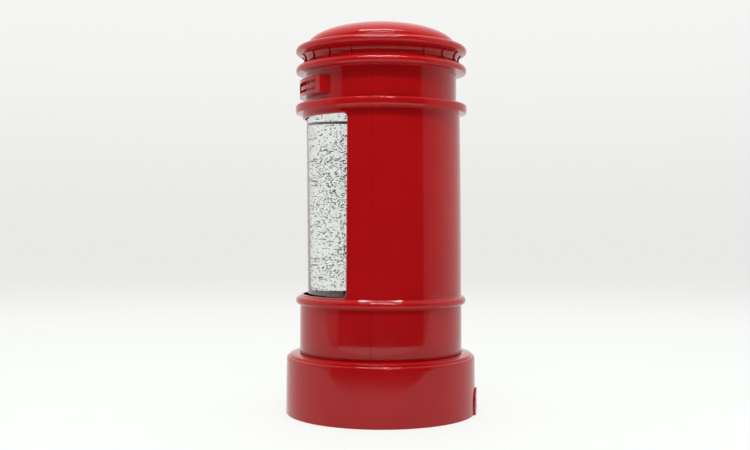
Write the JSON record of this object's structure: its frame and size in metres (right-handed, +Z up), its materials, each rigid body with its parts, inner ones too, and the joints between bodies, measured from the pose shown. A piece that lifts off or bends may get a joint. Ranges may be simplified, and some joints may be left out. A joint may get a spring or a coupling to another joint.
{
  "type": "glitter water lantern",
  "caption": "Round pillar-box-shaped battery lantern: red shell on a wide base, domed cap, and a clear water tank with glitter behind a tall curved window.",
  "frame": {"origin": "middle of the footprint, on the surface that the feet stand on", "axes": "+Z up along the lantern's axis, -Y out of the window and the posting hood, +Y out of the power socket"},
  "size_m": [0.1262, 0.1273, 0.2585],
  "materials": {
    "red_plastic": "glossy pigmented moulded ABS, pillar-box red",
    "black_plastic": "fine-textured black moulding",
    "white_plastic": "natural white moulding",
    "rubber": "dark moulded rubber",
    "clear_plastic": "clear polished polystyrene",
    "glitter_water": "clear water with silver glitter flakes",
    "scenery_plastic": "dull red-brown moulding",
    "steel": "bright plated steel",
    "magnet": "grey sintered ferrite",
    "circuit_board": "green soldermask",
    "lamp": "pale phosphor under clear resin",
    "cell_wrap": "printed plastic sleeve without lettering",
    "wire_sheath": "red PVC sheath"
  },
  "bodies": {
    "lantern": {"roof_cap": "red_plastic", "frieze_collar": "red_plastic", "front_shell": "red_plastic", "rear_shell": "red_plastic", "posting_hood": "red_plastic", "base_shell": "red_plastic", "base_plate": "black_plastic", "motor_bracket": "black_plastic", "switch_body": "black_plastic", "fill_plug": "white_plastic", "foot_1": "rubber", "foot_2": "rubber", "foot_3": "rubber", "foot_4": "rubber", "tank_gasket": "rubber", "water_tank": "clear_plastic", "tank_lid": "clear_plastic", "glitter_water": "glitter_water", "scenery_deck": "scenery_plastic", "base_screw_1": "steel", "base_screw_2": "steel", "base_screw_3": "steel", "base_screw_4": "steel", "shell_screw_1": "steel", "shell_screw_2": "steel", "shell_screw_3": "steel", "shell_screw_4": "steel", "impeller_pin": "steel", "motor_can": "steel", "usb_socket": "steel", "cell_spring_1": "steel", "cell_spring_2": "steel", "cell_spring_3": "steel", "contact_plus": "steel", "contact_link_right": "steel", "contact_link_left": "steel", "contact_minus": "steel", "led_board": "circuit_board", "control_board": "circuit_board", "led_1": "lamp", "led_2": "lamp", "led_3": "lamp", "led_4": "lamp", "cell_1": "cell_wrap", "cell_2": "cell_wrap", "cell_3": "cell_wrap", "wire_switch": "wire_sheath", "wire_battery": "wire_sheath", "wire_motor": "wire_sheath", "wire_leds": "wire_sheath"},
    "rotor": {"motor_shaft": "steel", "magnet_hub": "white_plastic", "drive_magnet": "magnet"},
    "impeller": {"impeller_wheel": "white_plastic", "impeller_magnet": "magnet"},
    "door": {"battery_door": "black_plastic", "door_screw": "steel"},
    "switch_slider": {"switch_knob": "white_plastic"}
  },
  "joints": [
    {"name": "rotor_spin", "type": "hinge", "parent": "lantern", "child": "rotor", "pos_m": [0, 0, 0.0385], "axis": [0, 0, 1], "continuous": true},
    {"name": "impeller_spin", "type": "hinge", "parent": "lantern", "child": "impeller", "pos_m": [0, 0, 0.052], "axis": [0, 0, 1], "continuous": true},
    {"name": "door_hinge", "type": "hinge", "parent": "lantern", "child": "door", "pos_m": [-0.029, 0, 0.00185], "axis": [0, 1, 0], "range_deg": [0, 95]},
    {"name": "switch_slide", "type": "slide", "parent": "lantern", "child": "switch_slider", "axis": [1, 0, 0], "range_m": [0, 0.004]}
  ],
  "couplings": [
    {"joint": "impeller_spin", "follows": "rotor_spin", "ratio": 1}
  ]
}
